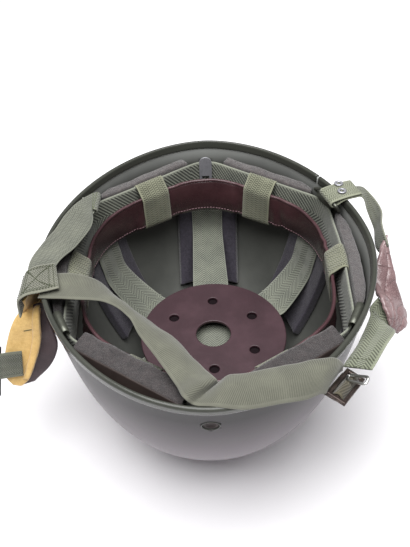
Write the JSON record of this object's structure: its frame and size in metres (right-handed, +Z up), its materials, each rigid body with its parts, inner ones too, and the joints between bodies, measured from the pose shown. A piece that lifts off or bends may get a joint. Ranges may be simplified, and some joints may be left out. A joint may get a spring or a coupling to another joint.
{
  "type": "military helmet",
  "caption": "Steel combat helmet lying upside down on its crown, with its suspension liner, leather sweatband and open webbing chin harness.",
  "frame": {"origin": "middle of the flat where the crown touches the ground", "axes": "+Z up out of the helmet's open side, -Y to the helmet's front, +X to its right as seen from the front"},
  "size_m": [0.3187, 0.2904, 0.1672],
  "materials": {
    "paint": "satin",
    "trim": "satin",
    "steel": "satin",
    "bronze": "satin",
    "webbing": "matte",
    "leather": "satin",
    "cheek": "satin",
    "suede": "matte",
    "felt": "matte",
    "foam": "matte",
    "plastic": "matte"
  },
  "bodies": {
    "root": {"shell": "paint", "edge_trim": "trim", "head_band": "webbing", "sweatband": "leather", "crown_disc": "leather", "felt_strip_1": "felt", "felt_strip_2": "felt", "felt_strip_3": "felt", "felt_strip_4": "felt", "felt_strip_5": "felt", "felt_strip_6": "felt", "foam_block_1": "foam", "foam_block_2": "foam", "foam_block_3": "foam", "foam_block_4": "foam", "foam_block_5": "foam", "foam_block_6": "foam", "sweatband_loop_1": "webbing", "sweatband_loop_2": "webbing", "sweatband_loop_3": "webbing", "sweatband_loop_4": "webbing", "sweatband_loop_5": "webbing", "sweatband_loop_6": "webbing", "crown_strap_1": "webbing", "crown_strap_2": "webbing", "crown_strap_3": "webbing", "rear_screw": "paint", "rear_clip": "steel", "front_screw": "paint", "front_clip": "steel", "bracket_1": "steel", "bracket_2": "steel", "bracket_3": "steel", "bracket_4": "steel", "bail_left": "steel", "bail_right": "steel", "side_strap": "webbing", "keeper": "webbing", "cross_strap": "webbing", "strap_slide": "bronze", "slide_hook": "steel", "cheek_strap": "webbing", "cheek_leather_right": "cheek", "loop_strap": "webbing", "tab_right": "webbing", "tab_eyelet_1": "steel", "tab_eyelet_2": "steel", "cheek_suede_left": "suede", "cheek_leather_left": "leather", "buckle_strap": "webbing", "side_buckle": "plastic"}
  },
  "joints": []
}
